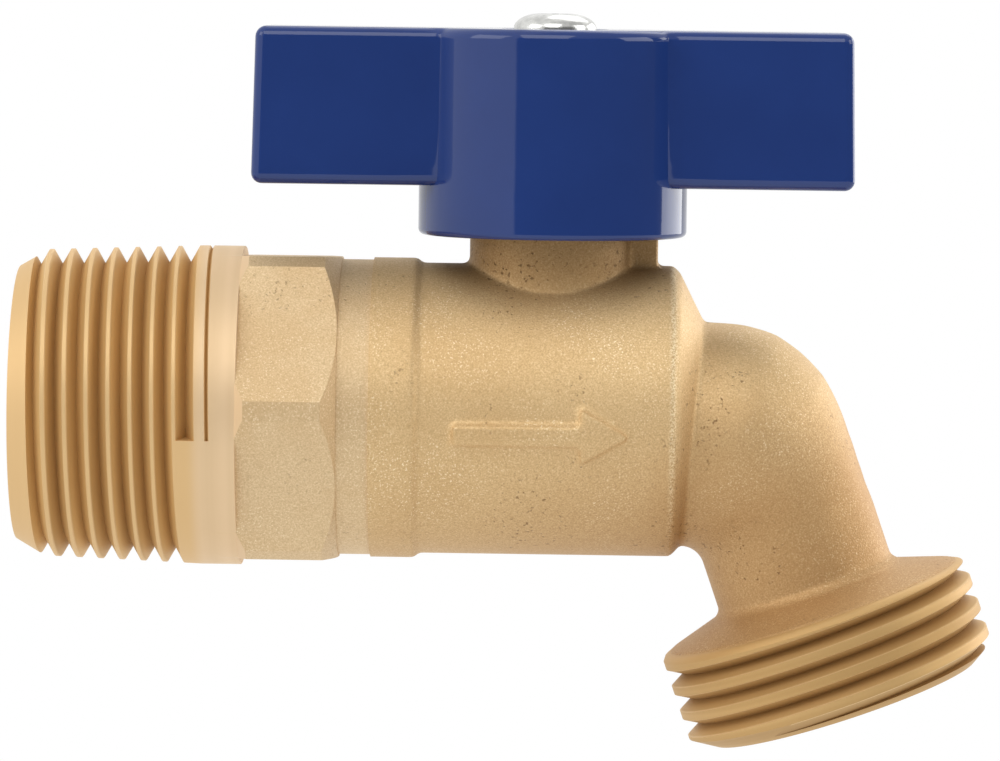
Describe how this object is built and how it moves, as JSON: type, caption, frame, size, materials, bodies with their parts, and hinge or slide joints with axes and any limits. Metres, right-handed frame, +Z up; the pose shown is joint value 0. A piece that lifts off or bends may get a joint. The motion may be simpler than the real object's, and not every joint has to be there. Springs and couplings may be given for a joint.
{
  "type": "hose bibb",
  "caption": "Quarter-turn ball valve tap with a threaded pipe inlet, drooping spout with an outside hose thread, and a tee handle that turns on a vertical stem.",
  "frame": {"origin": "centre of the inlet end face, on the body axis", "axes": "+X along the body from inlet to spout, +Z up along the stem, -Y towards the viewer of the picture"},
  "size_m": [0.0827, 0.0286, 0.0619],
  "materials": {
    "forged_brass": "sand-textured forging",
    "turned_brass": "turned",
    "chromed_ball": "polished",
    "seat_plastic": "waxy white",
    "seal_rubber": "moulded black",
    "blue_enamel": "glossy blue",
    "zinc_steel": "bright zinc plate"
  },
  "bodies": {
    "body": {"inlet_connector": "forged_brass", "body_seal": "seal_rubber", "valve_body": "forged_brass", "inlet_seat": "seat_plastic", "outlet_seat": "seat_plastic", "thrust_washer": "seat_plastic"},
    "handle_and_stem": {"handle": "blue_enamel", "lock_washer": "zinc_steel", "handle_screw": "zinc_steel", "stem": "turned_brass", "stem_o_ring_lower": "seal_rubber", "stem_o_ring_upper": "seal_rubber"},
    "ball": {"ball": "chromed_ball"}
  },
  "joints": [
    {"name": "handle_turn", "type": "hinge", "parent": "body", "child": "handle_and_stem", "pos_m": [0.045, 0, 0.02], "axis": [0, 0, 1], "range_deg": [-90, 0]},
    {"name": "ball_turn", "type": "hinge", "parent": "body", "child": "ball", "pos_m": [0.045, 0, 0], "axis": [0, 0, 1], "range_deg": [-90, 0]}
  ],
  "couplings": [
    {"joint": "ball_turn", "follows": "handle_turn", "ratio": 1}
  ]
}
